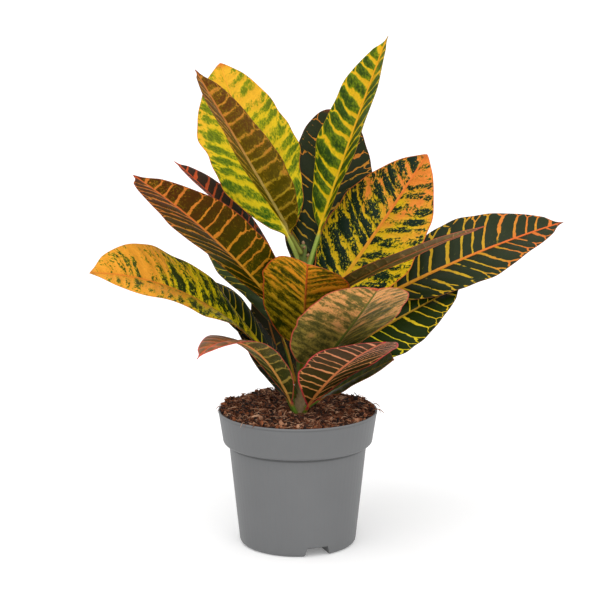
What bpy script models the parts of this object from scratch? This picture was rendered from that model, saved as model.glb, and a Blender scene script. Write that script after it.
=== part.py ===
"""Potted croton: a leafy house plant in a round grey nursery pot.

Frame: the origin is the middle of the pot's flat base, +Z points up the stem and -Y is the front.
Units are metres; the tables of leaves are in millimetres and degrees.
"""
import math

import bmesh
import bpy
from mathutils import Matrix, Vector

MM = 0.001

# ---- pot -------------------------------------------------------------------------------------
POT_HEIGHT = 0.110
RIM_RADIUS = 0.0643
BAND_BOTTOM_RADIUS = 0.0605
BAND_HEIGHT = 0.024
BAND_ROUND = 0.003
LIP_DEPTH = 0.0014
LIP_DRAW_IN = 0.0002
LIP_STEP = 0.0004
LIP_STEP_RUN = 0.0006
NECK_STEP = 0.0003
NECK_RADIUS = 0.0557
BASE_RADIUS = 0.0474
BASE_ROUND = 0.004
WALL = 0.0012
POT_STEPS = 72

DRAIN_COUNT = 3
DRAIN_FIRST_AZIMUTH = -70.0
DRAIN_HEIGHT = 0.008
DRAIN_BOTTOM_WIDTH = 0.022
DRAIN_TOP_WIDTH = 0.017
DRAIN_INNER_RADIUS = 0.026
DRAIN_HOLE_RADIUS = 0.0035
DRAIN_HOLE_AT = 0.036
DRAIN_CUT_BELOW = 0.002

# ---- soil ------------------------------------------------------------------------------------
GAP = 0.0003
FACET_ROOM = 0.0001
SOIL_CENTRE = 0.1042
SOIL_RIDGE = 0.1092
SOIL_EDGE = 0.1072
SOIL_LUMP = 0.0013
SOIL_LUMP_INNER = 0.030
SOIL_LUMP_OUTER = 0.060
SOIL_SHRINK = 0.0006
SOIL_STEPS = 64

# ---- stem ------------------------------------------------------------------------------------
STEM_FOOT = 0.070
STEM_SOIL_LEVEL = 0.107
STEM_TOP = 0.250
STEM_FOOT_X = 0.002
STEM_LEAN_X = 0.0025
STEM_RADIUS = 0.0042
STEM_TAPER = 0.0014
STEM_SIDES = 16
STEM_HOLE_ABOVE = 0.018

# ---- leaves ----------------------------------------------------------------------------------
# Leaves climb the stem in the order of LEAVES, crowded at the foot and wider apart higher up.
FIRST_LEAF_Z = 0.1065
LEAF_STEP = 0.00130
LEAF_STEP_GROWTH = 0.000149
PETIOLE_WIDTH = 0.0028
PETIOLE_THICKNESS = 0.0024
RIB_THICKNESS = 0.0011
BLADE_THICKNESS = 0.0008
EDGE_THICKNESS = 0.0005
TIP_WIDTH = 0.0012
PETIOLE_STATION = 0.6
PETIOLE_EDGE = 0.5
PETIOLE_WEB = 0.86
RIB_RUN = 0.25
BLADE_STATIONS = 12
CURVE_STEPS = 120

# Blade outlines: where along the blade it is widest, and how blunt its tip is.
FORMS = {
    "oval": (0.50, 0.78),
    "lance": (0.50, 0.92),
    "spoon": (0.60, 0.85),
    "blunt": (0.50, 0.50),
}

# name, form, look, azimuth, swing, lift at the stem and at the tip, droop power,
# petiole, blade, width, twist at the stem and at the tip, fold (mm and degrees).
LEAVES = [
    ("leaf_01", "spoon", "bronze", -66, 5, (43, 22), 1.0, 10, 152, 70, (6, -6), 7),
    ("leaf_02", "lance", "bronze", -128, 5, (58, -27), 1.8, 10, 150, 46, (-16, 6), 6),
    ("leaf_03", "oval", "dark", 172, -4, (62, 55), 1.0, 10, 94, 42, (-18, -14), 8),
    ("leaf_04", "spoon", "green", -28, -6, (35, 28), 1.0, 14, 80, 50, (20, 25), 10),
    ("leaf_05", "oval", "dark", 126, 0, (50, 72), 1.0, 12, 96, 34, (-8, -12), 5),
    ("leaf_06", "oval", "dark", 102, 0, (40, 10), 1.0, 15, 90, 42, (-5, -5), 8),
    ("leaf_07", "oval", "dark", 58, 0, (33, 6), 1.0, 16, 120, 52, (0, 0), 8),
    ("leaf_08", "spoon", "dark", 193, 2, (59, 46), 1.0, 24, 96, 41, (-26, -34), 8),
    ("leaf_09", "spoon", "mottled", 210, 14, (56, 7), 1.0, 40, 190, 65, (-28, -44), 18),
    ("leaf_10", "blunt", "bronze", -60, -16, (40, 32), 1.0, 30, 148, 84, (4, -3), 12),
    ("leaf_11", "spoon", "dark", 175, -18, (80, 36), 1.0, 28, 115, 58, (0, -32), 10),
    ("leaf_12", "oval", "dark", 12, -10, (31, 27), 1.0, 30, 114, 64, (72, 24), 5),
    ("leaf_13", "blunt", "bronze", -86, -3, (63, 26), 1.0, 22, 130, 73, (-10, -20), 10),
    ("leaf_14", "oval", "dark", 80, 0, (32, 8), 1.0, 18, 116, 48, (0, 0), 8),
    ("leaf_15", "oval", "dark", 44, 0, (27, 14), 1.0, 22, 130, 56, (10, 10), 8),
    ("leaf_16", "oval", "dark", 84, 0, (42, 22), 1.0, 16, 110, 46, (0, 0), 8),
    ("leaf_17", "lance", "dark", 18, -10, (29, 16), 1.0, 68, 166, 74, (46, 26), 12),
    ("leaf_18", "oval", "bronze", -134, -4, (50, 32), 1.0, 34, 186, 80, (4, 14), 10),
    ("leaf_19", "oval", "mottled", 10, -4, (52, 58), 1.0, 18, 149, 82, (68, 46), 2),
    ("leaf_20", "oval", "dark", 62, 0, (40, 34), 1.0, 18, 130, 56, (0, 0), 8),
    ("leaf_21", "oval", "bronze", -48, 18, (32, 21), 1.0, 22, 167, 49, (0, -7), 3),
    ("leaf_22", "lance", "dark", 160, -6, (53, 36), 1.0, 22, 130, 43, (14, -3), 19),
    ("leaf_23", "oval", "dark", 80, 0, (47, 40), 1.0, 12, 122, 48, (0, 6), 6),
    ("leaf_24", "blunt", "dark", 66, 25, (39, 56), 1.0, 24, 147, 68, (8, 14), 9),
    ("leaf_25", "lance", "green", 36, 2, (68, 64), 1.0, 30, 170, 58, (-4, 0), 24),
    ("leaf_26", "oval", "gold", 138, -10, (55, 61), 1.0, 20, 158, 83, (-8, -18), 2),
    ("leaf_27", "oval", "bronze", -130, -5, (52, 53), 1.0, 18, 169, 70, (-12, -10), 14),
]

LOOKS = {
    "gold": (0.62, 0.42, 0.05),
    "green": (0.16, 0.25, 0.04),
    "dark": (0.05, 0.09, 0.04),
    "bronze": (0.30, 0.15, 0.05),
    "mottled": (0.55, 0.28, 0.06),
}


def clear_scene():
    for item in list(bpy.data.objects):
        bpy.data.objects.remove(item, do_unlink=True)


def new_collection(name):
    collection = bpy.data.collections.new(name)
    bpy.context.scene.collection.children.link(collection)
    return collection


def make_material(name, colour, roughness):
    material = bpy.data.materials.new(name)
    material.use_nodes = True
    shader = material.node_tree.nodes["Principled BSDF"]
    shader.inputs["Base Color"].default_value = (*colour, 1.0)
    shader.inputs["Roughness"].default_value = roughness
    shader.inputs["Metallic"].default_value = 0.0
    return material


def add_object(name, mesh, collection, material=None):
    item = bpy.data.objects.new(name, mesh)
    collection.objects.link(item)
    if material:
        mesh.materials.append(material)
    return item


def add_cutter(name, mesh, collection):
    cutter = add_object(name, mesh, collection)
    cutter.hide_render = True
    cutter.display_type = "WIRE"
    return cutter


def boolean(item, cutter, operation):
    modifier = item.modifiers.new(cutter.name, "BOOLEAN")
    modifier.operation = operation
    modifier.solver = "EXACT"
    modifier.object = cutter


def profile_mesh(name, profile):
    """An open outline in the XZ plane, from (radius, height) pairs."""
    mesh = bpy.data.meshes.new(name)
    vertices = [(radius, 0.0, height) for radius, height in profile]
    edges = [(i, i + 1) for i in range(len(profile) - 1)]
    mesh.from_pydata(vertices, edges, [])
    return mesh


def turn(item, steps):
    screw = item.modifiers.new("turn", "SCREW")
    screw.axis = "Z"
    screw.angle = math.tau
    screw.steps = steps
    screw.render_steps = steps
    screw.use_merge_vertices = True
    screw.merge_threshold = 0.00005


def arc(centre, radius, start, end, count):
    """Points on an arc in the profile plane, angles in degrees from the +radius direction."""
    points = []
    for i in range(count + 1):
        angle = math.radians(start + (end - start) * i / count)
        points.append((centre[0] + radius * math.cos(angle), centre[1] + radius * math.sin(angle)))
    return points


def pot_outer_profile():
    """The pot's outer side, from the lip down to the middle of the base."""
    band_bottom = POT_HEIGHT - BAND_HEIGHT
    under_lip = POT_HEIGHT - LIP_DEPTH - LIP_STEP_RUN
    outer = [(RIM_RADIUS - LIP_DRAW_IN, POT_HEIGHT), (RIM_RADIUS, POT_HEIGHT - LIP_DEPTH)]
    outer.append((RIM_RADIUS - LIP_STEP, under_lip))
    outer += arc((BAND_BOTTOM_RADIUS - BAND_ROUND, band_bottom), BAND_ROUND, 0, -70, 4)
    outer.append((NECK_RADIUS, band_bottom - BAND_ROUND - NECK_STEP))
    outer += arc((BASE_RADIUS - BASE_ROUND, BASE_ROUND), BASE_ROUND, -4, -90, 5)
    outer.append((0.0, 0.0))
    return outer


def outer_radius(height):
    """Radius of the pot's outer side at a height above the rounded foot."""
    band_bottom = POT_HEIGHT - BAND_HEIGHT
    if height >= band_bottom:
        share = (height - band_bottom) / BAND_HEIGHT
        return BAND_BOTTOM_RADIUS + (RIM_RADIUS - LIP_STEP - BAND_BOTTOM_RADIUS) * share
    share = (height - BASE_ROUND) / (band_bottom - BASE_ROUND)
    return BASE_RADIUS + (NECK_RADIUS - BASE_RADIUS) * share


def drain_prism(name, grow, low, high, inner, outer):
    """A bar along +X with the drain channel's sloping sides, moved outward by grow."""
    slope = (DRAIN_TOP_WIDTH - DRAIN_BOTTOM_WIDTH) / 2 / DRAIN_HEIGHT
    half_low = DRAIN_BOTTOM_WIDTH / 2 + slope * low + grow
    half_high = DRAIN_BOTTOM_WIDTH / 2 + slope * high + grow
    section = [(-half_low, low), (half_low, low), (half_high, high), (-half_high, high)]
    builder = bmesh.new()
    rings = []
    for x in (inner, outer):
        rings.append([builder.verts.new((x, y, z)) for y, z in section])
    bridge(builder, rings)
    mesh = bpy.data.meshes.new(name)
    builder.to_mesh(mesh)
    builder.free()
    return mesh


def bridge(builder, rings):
    """Close a loft through rings of equal size, with its two ends capped."""
    size = len(rings[0])
    for first, second in zip(rings[:-1], rings[1:]):
        for i in range(size):
            j = (i + 1) % size
            builder.faces.new((first[i], first[j], second[j], second[i]))
    builder.faces.new(rings[0])
    builder.faces.new(rings[-1])
    bmesh.ops.recalc_face_normals(builder, faces=builder.faces)


def drain_turns():
    angles = [DRAIN_FIRST_AZIMUTH + i * 360.0 / DRAIN_COUNT for i in range(DRAIN_COUNT)]
    return [Matrix.Rotation(math.radians(angle), 4, "Z") for angle in angles]


def inside_mesh(name):
    """A solid that fills the pot's foot out to the middle of its wall."""
    half_wall = WALL / 2
    top = 3 * DRAIN_HEIGHT
    profile = [(0.0, top), (outer_radius(top) - half_wall, top)]
    profile += arc((BASE_RADIUS - BASE_ROUND, BASE_ROUND), BASE_ROUND - half_wall, -4, -90, 5)
    profile.append((0.0, half_wall))
    return profile_mesh(name, profile)


def make_pot(parts, cutters):
    material = make_material("pot_grey", (0.18, 0.185, 0.19), 0.45)
    pot = add_object("pot", profile_mesh("pot", pot_outer_profile()), parts, material)
    turn(pot, POT_STEPS)
    shell = pot.modifiers.new("wall", "SOLIDIFY")
    shell.thickness = WALL
    shell.offset = -1.0
    shell.use_even_offset = True
    foot = add_cutter("foot_inside", inside_mesh("foot_inside"), cutters)
    turn(foot, POT_STEPS)
    for i, turned in enumerate(drain_turns()):
        roof_mesh = drain_prism(f"drain_roof_{i}", WALL, WALL / 2, DRAIN_HEIGHT + WALL,
                                DRAIN_INNER_RADIUS - WALL, RIM_RADIUS)
        roof = add_cutter(f"drain_roof_{i}", roof_mesh, cutters)
        roof.matrix_world = turned
        boolean(roof, foot, "INTERSECT")
        boolean(pot, roof, "UNION")
    for i, turned in enumerate(drain_turns()):
        channel_mesh = drain_prism(f"drain_channel_{i}", 0.0, -DRAIN_CUT_BELOW, DRAIN_HEIGHT,
                                   DRAIN_INNER_RADIUS, RIM_RADIUS)
        channel = add_cutter(f"drain_channel_{i}", channel_mesh, cutters)
        channel.matrix_world = turned
        boolean(pot, channel, "DIFFERENCE")
        hole_mesh = cylinder_mesh(f"drain_hole_{i}", DRAIN_HOLE_RADIUS, 4 * WALL, 24)
        hole = add_cutter(f"drain_hole_{i}", hole_mesh, cutters)
        hole.matrix_world = turned @ Matrix.Translation((DRAIN_HOLE_AT, 0.0, DRAIN_HEIGHT + WALL / 2))
        boolean(pot, hole, "DIFFERENCE")


def cylinder_mesh(name, radius, depth, segments):
    builder = bmesh.new()
    bmesh.ops.create_cone(builder, cap_ends=True, segments=segments, radius1=radius, radius2=radius,
                          depth=depth)
    mesh = bpy.data.meshes.new(name)
    builder.to_mesh(mesh)
    builder.free()
    return mesh


def soil_profile():
    """Outline of the root ball, from the middle of its top, down its side, to its middle below."""
    side_gap = WALL + GAP + FACET_ROOM
    floor = WALL + GAP
    band_bottom = POT_HEIGHT - BAND_HEIGHT
    foot_top = 2 * BASE_ROUND
    dish = [(0.009, 0.0), (0.018, 0.22), (0.028, 0.90), (0.038, 1.0), (0.047, 1.0), (0.055, 0.87)]
    profile = [(0.0, SOIL_CENTRE)]
    profile += [(radius, SOIL_CENTRE + (SOIL_RIDGE - SOIL_CENTRE) * rise) for radius, rise in dish]
    profile.append((outer_radius(SOIL_EDGE) - side_gap - SOIL_SHRINK, SOIL_EDGE))
    profile.append((BAND_BOTTOM_RADIUS - side_gap - 2 * SOIL_SHRINK, band_bottom + BAND_ROUND * 2))
    profile.append((NECK_RADIUS - side_gap - SOIL_SHRINK, band_bottom - BAND_ROUND))
    profile.append((outer_radius(foot_top) - side_gap - SOIL_SHRINK, foot_top))
    profile.append((BASE_RADIUS - BASE_ROUND - 5 * SOIL_SHRINK, floor))
    profile.append((0.0, floor))
    return profile


def lump(x, y):
    """Gentle hills on the soil, fading out at the pot's wall."""
    radius = math.hypot(x, y)
    fade = max(0.0, 1.0 - (radius / SOIL_LUMP_OUTER) ** 4) * min(1.0, radius / SOIL_LUMP_INNER)
    waves = math.sin(95.0 * x + 1.3) * math.cos(110.0 * y + 0.4)
    waves += 0.6 * math.sin(170.0 * y - 60.0 * x + 2.0)
    return SOIL_LUMP * waves * fade


def make_soil(parts, cutters):
    material = make_material("soil_brown", (0.055, 0.022, 0.012), 0.95)
    outline = add_object("soil_outline", profile_mesh("soil_outline", soil_profile()), parts)
    turn(outline, SOIL_STEPS)
    evaluated = outline.evaluated_get(bpy.context.evaluated_depsgraph_get())
    mesh = bpy.data.meshes.new_from_object(evaluated)
    mesh.name = "soil"
    bpy.data.objects.remove(outline, do_unlink=True)
    for vertex in mesh.vertices:
        if vertex.co.z > SOIL_CENTRE - FACET_ROOM:
            vertex.co.z += lump(vertex.co.x, vertex.co.y)
    soil = add_object("soil", mesh, parts, material)
    for i, turned in enumerate(drain_turns()):
        clearance = drain_prism(f"soil_channel_{i}", WALL + GAP, 0.0, DRAIN_HEIGHT + WALL + GAP,
                                DRAIN_INNER_RADIUS - WALL - GAP, RIM_RADIUS)
        cutter = add_cutter(f"soil_channel_{i}", clearance, cutters)
        cutter.matrix_world = turned
        boolean(soil, cutter, "DIFFERENCE")
    hole_levels = [STEM_FOOT - GAP, STEM_SOIL_LEVEL, STEM_SOIL_LEVEL + STEM_HOLE_ABOVE]
    hole = add_cutter("stem_hole", stem_mesh("stem_hole", GAP, hole_levels), cutters)
    boolean(soil, hole, "DIFFERENCE")


def stem_share(height):
    return (height - STEM_SOIL_LEVEL) / (STEM_TOP - STEM_SOIL_LEVEL)


def stem_centre(height):
    share = max(0.0, stem_share(height))
    return Vector((STEM_FOOT_X + STEM_LEAN_X * share, 0.0, height))


def stem_radius(height):
    share = min(1.0, max(0.0, stem_share(height)))
    return STEM_RADIUS - STEM_TAPER * share


def stem_mesh(name, grow, levels):
    """The stem's tapering round body through some heights, grown outward by grow."""
    builder = bmesh.new()
    rings = []
    for level in levels:
        centre = stem_centre(level)
        ring = []
        for i in range(STEM_SIDES):
            angle = math.tau * i / STEM_SIDES
            offset = Vector((math.cos(angle), math.sin(angle), 0.0)) * (stem_radius(level) + grow)
            ring.append(builder.verts.new(centre + offset))
        rings.append(ring)
    bridge(builder, rings)
    mesh = bpy.data.meshes.new(name)
    builder.to_mesh(mesh)
    builder.free()
    return mesh


def make_stem(parts):
    material = make_material("stem_bark", (0.20, 0.16, 0.07), 0.7)
    mesh = stem_mesh("stem", 0.0, [STEM_FOOT, STEM_SOIL_LEVEL, STEM_TOP])
    mesh.shade_smooth()
    add_object("stem", mesh, parts, material)


def leaf_height(order):
    return FIRST_LEAF_Z + LEAF_STEP * order + LEAF_STEP_GROWTH * order * order


def ease(pair, share):
    return pair[0] + (pair[1] - pair[0]) * share


def heading(azimuth, lift):
    flat = math.cos(lift)
    return Vector((flat * math.cos(azimuth), flat * math.sin(azimuth), math.sin(lift)))


def half_width(leaf, share):
    """Half the blade's width at a share of its length, from its widest place and tip form."""
    widest, blunt = FORMS[leaf["form"]]
    rise = blunt * widest / (1.0 - widest)
    shape = share ** rise * (1.0 - share) ** blunt
    return leaf["width"] / 2 * shape / (widest ** rise * (1.0 - widest) ** blunt)


def leaf_stations(leaf, order):
    """Places along the leaf: midrib point, across and upper-side directions, half width."""
    length = leaf["petiole"] + leaf["blade"]
    height = leaf_height(order)
    azimuth = math.radians(leaf["azimuth"])
    lift = math.radians(leaf["lift"][0])
    reach = stem_radius(height) + GAP + FACET_ROOM + PETIOLE_THICKNESS / 2 * math.sin(lift)
    point = stem_centre(height) + Vector((math.cos(azimuth), math.sin(azimuth), 0.0)) * reach
    blade_start = leaf["petiole"] / length
    wanted = [0.0, blade_start * PETIOLE_STATION]
    for i in range(BLADE_STATIONS):
        share = 0.5 - 0.5 * math.cos(math.pi * i / (BLADE_STATIONS - 1))
        wanted.append(blade_start + (1.0 - blade_start) * share)
    stations = []
    done = 0.0
    for goal in wanted:
        steps = max(1, round((goal - done) * CURVE_STEPS))
        for i in range(steps):
            middle = done + (goal - done) * (i + 0.5) / steps
            bend = ease(leaf["lift"], middle ** leaf["droop"])
            turned = leaf["azimuth"] + leaf["swing"] * middle
            direction = heading(math.radians(turned), math.radians(bend))
            point = point + direction * (length * (goal - done) / steps)
        done = goal
        turned = math.radians(leaf["azimuth"] + leaf["swing"] * goal)
        bend = math.radians(ease(leaf["lift"], goal ** leaf["droop"]))
        along = heading(turned, bend)
        side = Vector((-math.sin(turned), math.cos(turned), 0.0))
        upper = along.cross(side)
        twist = math.radians(ease(leaf["twist"], goal))
        across = side * math.cos(twist) + upper * math.sin(twist)
        normal = upper * math.cos(twist) - side * math.sin(twist)
        share = max(0.0, (goal - blade_start) / (1.0 - blade_start))
        if share <= 0.0:
            width = PETIOLE_WIDTH / 2
        else:
            width = max(half_width(leaf, min(share, 1.0)), PETIOLE_WIDTH / 2 * (1.0 - share),
                        TIP_WIDTH / 2)
        stations.append((point.copy(), across, normal, width, share))
    return stations


def leaf_section(station, fold):
    """Ring of points round the leaf: across its upper side, then back across its underside."""
    point, across, normal, width, share = station
    angle = math.radians(fold)
    petiole = max(0.0, 1.0 - share / RIB_RUN)
    rib = RIB_THICKNESS + (PETIOLE_THICKNESS - RIB_THICKNESS) * petiole
    if share <= 0.0:
        edge, web = PETIOLE_THICKNESS * PETIOLE_EDGE, PETIOLE_THICKNESS * PETIOLE_WEB
    else:
        edge, web = EDGE_THICKNESS, BLADE_THICKNESS
    upper_side = []
    under_side = []
    for u, thickness in ((-1.0, edge), (-0.5, web), (0.0, rib), (0.5, web), (1.0, edge)):
        reach = abs(u) * width
        sign = 1.0 if u > 0 else -1.0
        middle = point + across * (sign * reach * math.cos(angle)) + normal * (reach * math.sin(angle))
        if share <= 0.0:
            middle = point + across * (u * width)
        upper_side.append(middle + normal * (thickness / 2))
        under_side.append(middle - normal * (thickness / 2))
    return upper_side + under_side[::-1]


def make_leaf(leaf, order, parts, material):
    builder = bmesh.new()
    rings = []
    for station in leaf_stations(leaf, order):
        rings.append([builder.verts.new(corner) for corner in leaf_section(station, leaf["fold"])])
    bridge(builder, rings)
    mesh = bpy.data.meshes.new(leaf["name"])
    builder.to_mesh(mesh)
    builder.free()
    mesh.shade_smooth()
    add_object(leaf["name"], mesh, parts, material)


def read_leaf(row):
    name, form, look, azimuth, swing, lift, droop, petiole, blade, width, twist, fold = row
    return {"name": name, "form": form, "look": look, "azimuth": azimuth, "swing": swing,
            "lift": lift, "droop": droop, "petiole": petiole * MM, "blade": blade * MM,
            "width": width * MM, "twist": twist, "fold": fold}


def main():
    clear_scene()
    parts = new_collection("potted_croton")
    cutters = new_collection("cutters")
    make_pot(parts, cutters)
    make_soil(parts, cutters)
    make_stem(parts)
    materials = {look: make_material(f"leaf_{look}", colour, 0.4) for look, colour in LOOKS.items()}
    for order, row in enumerate(LEAVES):
        leaf = read_leaf(row)
        make_leaf(leaf, order, parts, materials[leaf["look"]])


main()
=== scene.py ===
"""Looks of a potted croton: variegated leaves, a short green stem, coir soil and a grey pot.

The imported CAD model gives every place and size. Each leaf is grown again at fine resolution
along the curve of its CAD solid, in metres, with veins, quilting and waves in the mesh.
"""

import math
import random

import bmesh
import bpy
import numpy as np
from mathutils import Matrix, Vector, noise


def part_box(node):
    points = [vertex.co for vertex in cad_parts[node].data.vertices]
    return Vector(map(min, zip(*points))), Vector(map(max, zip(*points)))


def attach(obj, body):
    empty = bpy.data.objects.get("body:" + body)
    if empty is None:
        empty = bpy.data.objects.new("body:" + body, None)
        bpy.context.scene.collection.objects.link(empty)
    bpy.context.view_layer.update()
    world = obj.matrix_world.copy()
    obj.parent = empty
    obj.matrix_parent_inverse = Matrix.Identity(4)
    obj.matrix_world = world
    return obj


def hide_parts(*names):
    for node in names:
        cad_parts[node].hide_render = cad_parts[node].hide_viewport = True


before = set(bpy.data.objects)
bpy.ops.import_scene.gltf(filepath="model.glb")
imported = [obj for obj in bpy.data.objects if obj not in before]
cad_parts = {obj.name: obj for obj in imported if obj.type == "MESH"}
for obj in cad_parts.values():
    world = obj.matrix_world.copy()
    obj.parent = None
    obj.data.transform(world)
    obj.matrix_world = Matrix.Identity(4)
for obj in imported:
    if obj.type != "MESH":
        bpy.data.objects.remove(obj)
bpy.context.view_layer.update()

MM = 0.001

# ---- stem and leaf growth, as in the CAD model ----------------------------------------------
STEM_SOIL_LEVEL = 0.107
STEM_TOP = 0.250
STEM_SEEN_TOP = 0.2455
STEM_FOOT_X = 0.002
STEM_LEAN_X = 0.0025
STEM_RADIUS = 0.0042
STEM_TAPER = 0.0014
FIRST_LEAF_Z = 0.1065
LEAF_STEP = 0.00130
LEAF_STEP_GROWTH = 0.000149
LEAF_GAP = 0.0004
PETIOLE_RADIUS = 0.0013
PETIOLE_SINK = 0.0030

# Blade outlines: where along the blade it is widest, how blunt its tip is, and how far the
# last stretch is drawn in to a point.
FORMS = {
    "oval": (0.50, 0.78, 0.55),
    "lance": (0.50, 0.92, 0.60),
    "spoon": (0.60, 0.85, 0.30),
    "blunt": (0.50, 0.50, 0.0),
    "corner": (0.50, 0.78, 0.12),
}

# name, form, azimuth, swing, lift at the stem and at the tip, droop power,
# petiole, blade, width, twist at the stem and at the tip, fold (mm and degrees).
LEAVES = [
    ("leaf_01", "spoon", -66, 5, (43, 22), 1.0, 10, 152, 70, (6, -6), 7),
    ("leaf_02", "lance", -128, 5, (58, -27), 1.8, 10, 150, 46, (-16, 6), 6),
    ("leaf_03", "oval", 172, -4, (62, 55), 1.0, 10, 94, 42, (-18, -14), 8),
    ("leaf_04", "spoon", -28, -6, (35, 28), 1.0, 14, 80, 50, (20, 25), 10),
    ("leaf_05", "oval", 126, 0, (50, 72), 1.0, 12, 96, 34, (-8, -12), 5),
    ("leaf_06", "oval", 102, 0, (40, 10), 1.0, 15, 90, 42, (-5, -5), 8),
    ("leaf_07", "oval", 58, 0, (33, 6), 1.0, 16, 120, 52, (0, 0), 8),
    ("leaf_08", "spoon", 193, 2, (59, 46), 1.0, 24, 96, 41, (-26, -34), 8),
    ("leaf_09", "spoon", 210, 14, (56, 7), 1.0, 40, 190, 65, (-28, -44), 18),
    ("leaf_10", "blunt", -60, -16, (40, 32), 1.0, 30, 148, 84, (4, -3), 12),
    ("leaf_11", "spoon", 175, -18, (80, 36), 1.0, 28, 115, 58, (0, -32), 10),
    ("leaf_12", "oval", 12, -10, (31, 27), 1.0, 30, 114, 64, (72, 24), 5),
    ("leaf_13", "blunt", -86, -3, (63, 26), 1.0, 22, 130, 73, (-10, -20), 10),
    ("leaf_14", "oval", 80, 0, (32, 8), 1.0, 18, 116, 48, (0, 0), 8),
    ("leaf_15", "oval", 44, 0, (27, 14), 1.0, 22, 130, 56, (10, 10), 8),
    ("leaf_16", "oval", 84, 0, (42, 22), 1.0, 16, 110, 46, (0, 0), 8),
    ("leaf_17", "lance", 18, -10, (29, 16), 1.0, 68, 166, 74, (46, 26), 12),
    ("leaf_18", "oval", -134, -4, (50, 32), 1.0, 34, 186, 80, (4, 14), 10),
    ("leaf_19", "corner", 10, -4, (52, 58), 1.0, 18, 149, 82, (68, 46), 2),
    ("leaf_20", "oval", 62, 0, (40, 34), 1.0, 18, 130, 56, (0, 0), 8),
    ("leaf_21", "oval", -48, 18, (32, 21), 1.0, 22, 167, 49, (0, -7), 3),
    ("leaf_22", "lance", 160, -6, (53, 36), 1.0, 22, 130, 43, (14, -3), 19),
    ("leaf_23", "oval", 80, 0, (47, 40), 1.0, 12, 122, 48, (0, 6), 6),
    ("leaf_24", "blunt", 66, 25, (39, 56), 1.0, 24, 147, 68, (8, 14), 9),
    ("leaf_25", "lance", 36, 2, (68, 64), 1.0, 30, 170, 58, (-4, 0), 24),
    ("leaf_26", "corner", 138, -10, (55, 61), 1.0, 20, 158, 83, (-8, -18), 2),
    ("leaf_27", "oval", -130, -5, (52, 53), 1.0, 18, 169, 70, (-12, -10), 14),
]

# name: record slot, upper face, under face, veins each side, wave height in mm, waves, quilting in mm.
LOOKS = {
    "leaf_01": ("leaf_bronze", "dusk", "brick", 14, 0.8, 3.0, 0.9),
    "leaf_02": ("leaf_bronze", "coral", "blush", 13, 0.8, 2.5, 0.6),
    "leaf_03": ("leaf_dark", "dusk", "olive", 11, 0.5, 2.0, 0.5),
    "leaf_04": ("leaf_green", "fern", "olive", 9, 0.8, 2.0, 0.5),
    "leaf_05": ("leaf_dark", "umber", "olive", 11, 0.4, 2.0, 0.4),
    "leaf_06": ("leaf_dark", "dusk", "olive", 10, 1.0, 2.0, 0.5),
    "leaf_07": ("leaf_dark", "night", "olive", 13, 1.2, 2.5, 0.5),
    "leaf_08": ("leaf_dark", "night", "olive", 11, 0.5, 2.0, 0.4),
    "leaf_09": ("leaf_mottled", "amber", "olive", 18, 1.8, 2.5, 0.6),
    "leaf_10": ("leaf_bronze", "ember", "rosy", 14, 0.8, 2.0, 0.7),
    "leaf_11": ("leaf_dark", "slate", "olive", 12, 0.8, 2.5, 0.5),
    "leaf_12": ("leaf_dark", "night", "olive", 11, 1.0, 3.0, 0.6),
    "leaf_13": ("leaf_bronze", "ember", "tawny", 13, 0.8, 2.0, 0.8),
    "leaf_14": ("leaf_dark", "dusk", "olive", 12, 1.2, 2.5, 0.5),
    "leaf_15": ("leaf_dark", "night", "olive", 13, 1.2, 2.5, 0.5),
    "leaf_16": ("leaf_dark", "dusk", "olive", 11, 1.2, 2.5, 0.5),
    "leaf_17": ("leaf_dark", "flame", "olive", 14, 1.0, 2.5, 0.6),
    "leaf_18": ("leaf_bronze", "dusk", "maroon", 15, 0.8, 2.0, 0.7),
    "leaf_19": ("leaf_mottled", "ember", "tawny", 14, 1.2, 2.5, 0.5),
    "leaf_20": ("leaf_dark", "night", "olive", 12, 1.2, 2.5, 0.5),
    "leaf_21": ("leaf_bronze", "dusk", "bronze", 14, 0.6, 2.0, 0.4),
    "leaf_22": ("leaf_dark", "wine", "maroon", 13, 0.4, 2.0, 0.4),
    "leaf_23": ("leaf_dark", "dusk", "olive", 12, 1.0, 2.5, 0.5),
    "leaf_24": ("leaf_dark", "soot", "olive", 14, 1.8, 3.5, 0.6),
    "leaf_25": ("leaf_green", "lime", "olive", 14, 1.0, 3.0, 0.6),
    "leaf_26": ("leaf_gold", "gold", "olive", 13, 2.2, 2.5, 0.6),
    "leaf_27": ("leaf_bronze", "dusk", "umbra", 14, 0.8, 2.0, 0.7),
}

# Every face starts from these values, and a palette changes some of them.
# Colours are display values from 0 to 255, lengths are millimetres.
PLAIN = {
    "dark": (30, 40, 12), "dark_tip": (34, 40, 16), "mid": (92, 100, 14), "light": (200, 160, 26),
    "light_tip": (214, 140, 36), "hue": (0.1, 0.9), "rib": (198, 156, 44), "rib_tip": (212, 132, 44),
    "rim": (110, 62, 36), "stalk": (112, 124, 50),
    "vein": 1.3, "soft": 0.5, "core": 0.55, "near": 0.10, "streak": 0.3, "blotch": 0.2,
    "fleck": 0.2, "base_level": 0.0, "tip_level": 0.0, "edge_level": 0.0, "wash": 0.1,
    "halo": 0.10, "blur": 0.12, "fork": 0.30, "taper": 0.45, "wander": 0.55, "rib_width": 1.0,
    "rim_width": 0.7, "gaps": 0.30, "rough": 0.42, "relief": -0.3, "net": 0.0, "specks": 0.0,
    "gloss": 0.18, "feather": 0.04, "tilt": 0.0, "net_width": 0.12,
}

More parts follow.
